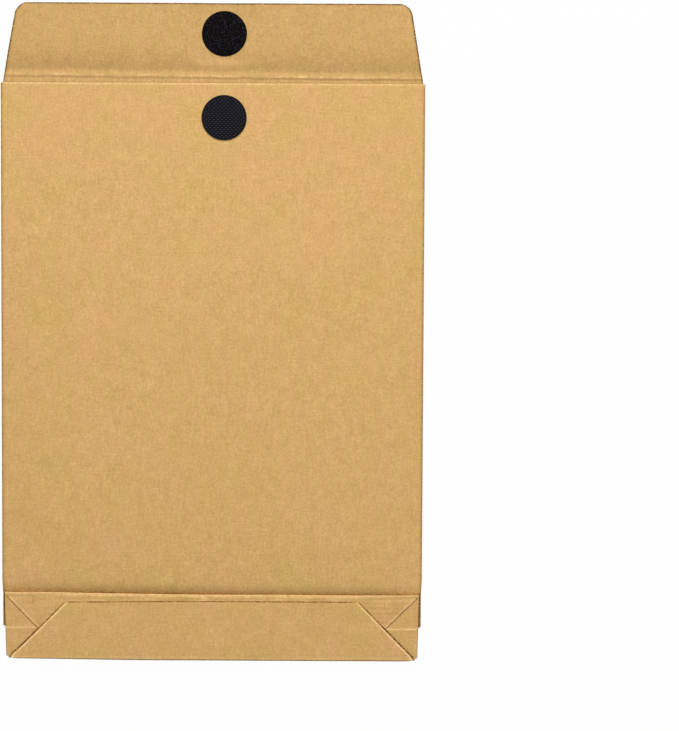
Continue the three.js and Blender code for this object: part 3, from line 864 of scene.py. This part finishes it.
def painted_thread_sheen(tree, places, threads):
    """Painted sheen: a few threads of the nap lie flat and are painted paler where they catch the light."""
    lying = add(tree, "ShaderNodeMapRange", {"Value": threads, "From Min": 0.49, "From Max": 0.62})
    return lying.outputs["Result"]


loop_nylon = black_nylon("black_loop_nylon", "#020204", "#474d63", 0.95, 0.9, painted_thread_sheen)
loop_backing = black_nylon("black_woven_backing", "#0d0805", "#1c130d", 0.8, 0.3, painted_thread_sheen)
flap_top = back_z + HELD_LIFT + PAPER / 2
adhesive_top = flap_top + 0.1
tape_top = flap_top + 0.3


def plain_shell(points, faces):
    """Points and faces as one unworn shell of a single material."""
    return points, faces, np.zeros(len(faces), int), np.zeros(len(points))


def round_plate(x, y, radius, low, high, edge_round):
    """A closed disc with a rounded upper rim, as rings of points with a middle point on each side."""
    around = np.linspace(0, 2 * math.pi, 73)[:-1]
    turn = np.linspace(0, math.pi / 2, 5)
    rings = [(radius, low)]
    rings += [(radius - edge_round * (1 - math.cos(t)), high - edge_round * (1 - math.sin(t))) for t in turn]
    rings += [(radius * share, high) for share in (0.7, 0.35)]
    points = [(x + r * math.cos(a), y + r * math.sin(a), z) for r, z in rings for a in around]
    count = len(around)
    faces = []
    for ring in range(len(rings) - 1):
        for k in range(count):
            here, beside = ring * count + k, ring * count + (k + 1) % count
            faces.append((here, beside, beside + count, here + count))
    top, bottom = len(points), len(points) + 1
    points += [(x, y, high), (x, y, low)]
    last = (len(rings) - 1) * count
    for k in range(count):
        faces.append((last + k, last + (k + 1) % count, top))
        faces.append(((k + 1) % count, k, bottom))
    return plain_shell(np.array(points), faces)


adhesive = piece("loop_adhesive", [round_plate(dot_x, dot_y, dot_radius - 0.3, flap_top, adhesive_top, 0.03)],
                 [clear_adhesive])
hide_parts("loop_dot_adhesive")
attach(adhesive, "flap")
tape = piece("loop_tape", [round_plate(dot_x, dot_y, dot_radius, adhesive_top, tape_top, 0.06)],
             [loop_backing])
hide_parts("loop_dot_tape")
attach(tape, "flap")


LOOP_COUNT = 1800
LOOP_THREAD = 0.09


def pile_loop(x, y, z, heading, width, height, lean):
    """One loop of thread: a small three-sided tube that leaves the tape, arches over and goes back in. The
    loops are fewer and thicker than real ones, so that they show."""
    turn = np.linspace(-0.15 * math.pi, 1.15 * math.pi, 7)
    along = -np.cos(turn) * width / 2
    up = np.sin(turn) * height
    path = np.stack([x + along * math.cos(heading) - lean * up * math.sin(heading),
                     y + along * math.sin(heading) + lean * up * math.cos(heading), z + up], -1)
    ahead = np.gradient(path, axis=0)
    ahead /= np.linalg.norm(ahead, axis=1, keepdims=True)
    beside = np.array([-math.sin(heading), math.cos(heading), 0.0])
    over = np.cross(ahead, beside)
    points = []
    for k in range(3):
        angle = k * 2 * math.pi / 3
        points.append(path + LOOP_THREAD / 2 * (math.cos(angle) * beside + math.sin(angle) * over))
    points = np.stack(points, 1).reshape(-1, 3)
    faces = []
    for ring in range(len(path) - 1):
        for k in range(3):
            here, next_side = ring * 3 + k, ring * 3 + (k + 1) % 3
            faces.append((here, here + 3, next_side + 3, next_side))
    end = (len(path) - 1) * 3
    faces += [(0, 1, 2), (end + 2, end + 1, end)]
    return points, faces


draw = np.random.default_rng(7)
points, faces, start = [], [], 0
for _ in range(LOOP_COUNT):
    angle = draw.uniform(0, 2 * math.pi)
    uneven_rim = dot_radius - 0.45 + 0.2 * math.sin(3 * angle + 1)
    out = uneven_rim * math.sqrt(draw.uniform(0, 1))
    loop_points, loop_faces = pile_loop(
        dot_x + out * math.cos(angle), dot_y + out * math.sin(angle), tape_top,
        heading=draw.uniform(0, math.pi), width=draw.uniform(0.5, 1.1), height=draw.uniform(0.25, 0.36),
        lean=draw.uniform(-0.8, 0.8))
    points.append(loop_points)
    faces += [tuple(corner + start for corner in face) for face in loop_faces]
    start += len(loop_points)
pile = piece("loop_pile", [plain_shell(np.concatenate(points), faces)], [loop_nylon])
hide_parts("loop_dot_pile")
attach(pile, "flap")


# Table, light and camera, in metres: a white table that keeps the soft shadow, a broad soft key light from
# behind the flap, a wide fill from above, and a camera that leans a little over the flap.

TABLE_HALF = 3.0
TABLE_GLOW = 0.97
floor_mesh = bpy.data.meshes.new("floor")
floor_mesh.from_pydata([(TABLE_HALF * x, TABLE_HALF * y, 0) for x, y in ((-1, -1), (1, -1), (1, 1), (-1, 1))],
                       [], [(0, 1, 2, 3)])
floor = bpy.data.objects.new("floor", floor_mesh)
bpy.context.scene.collection.objects.link(floor)

# Matt white board. It is lit from within where it is seen directly, so that it stays an even white.
table, tree = empty_material("white_table")
seen = add(tree, "ShaderNodeLightPath").outputs["Is Camera Ray"]
glow_share = add(tree, "ShaderNodeMath", {0: seen, 1: TABLE_GLOW}, operation="MULTIPLY").outputs[0]
matte = add(tree, "ShaderNodeBsdfDiffuse", {"Color": (0.85, 0.85, 0.85, 1)}).outputs["BSDF"]
glow = add(tree, "ShaderNodeEmission", {"Color": (1, 1, 1, 1), "Strength": 1.0}).outputs["Emission"]
mixed = add(tree, "ShaderNodeMixShader", {0: glow_share, 1: matte, 2: glow}).outputs["Shader"]
add(tree, "ShaderNodeOutputMaterial", {"Surface": mixed})
floor_mesh.materials.append(table)


def area_light(name, place, aim, size, watts):
    """A square light at a place, turned towards its aim."""
    light = bpy.data.lights.new(name, "AREA")
    light.shape = "SQUARE"
    light.size = size
    light.energy = watts
    lamp = bpy.data.objects.new(name, light)
    lamp.location = place
    away = np.array(place) - np.array(aim)
    spin = math.atan2(away[0], -away[1])
    lamp.rotation_euler = (math.atan2(math.hypot(away[0], away[1]), away[2]), 0, spin)
    bpy.context.scene.collection.objects.link(lamp)


area_light("key", place=(0.1, 1.1, 0.85), aim=(0, 0, 0), size=0.6, watts=13.2)
area_light("fill", place=(0.1, -0.2, 1.6), aim=(0, 0, 0), size=1.6, watts=6.0)

# An even grey sky, which is white where it is seen directly.
world = bpy.data.worlds.new("studio")
bpy.context.scene.world = world
world.use_nodes = True
tree = world.node_tree
tree.nodes.clear()
seen = add(tree, "ShaderNodeLightPath").outputs["Is Camera Ray"]
strength = add(tree, "ShaderNodeMapRange", {"Value": seen, "To Min": 0.35, "To Max": 1.0}).outputs["Result"]
sky = add(tree, "ShaderNodeBackground", {"Color": (1, 1, 1, 1), "Strength": strength}).outputs["Background"]
add(tree, "ShaderNodeOutputWorld", {"Surface": sky})

# The camera looks at a place right of the envelope's middle, from 1.3 m away.
lean, roll = math.radians(3.389), math.radians(0.289)
aim_x, aim_y, away = 0.06933, -0.01724, 1.3
camera_data = bpy.data.cameras.new("camera")
camera = bpy.data.objects.new("camera", camera_data)
camera_data.sensor_width = 36
camera_data.lens = 117.15
camera.location = (aim_x, aim_y + away * math.sin(lean), away * math.cos(lean))
camera.rotation_mode = "ZYX"
camera.rotation_euler = (-lean, 0, roll)
bpy.context.scene.collection.objects.link(camera)
bpy.context.scene.camera = camera
bpy.context.scene.view_settings.view_transform = "Standard"
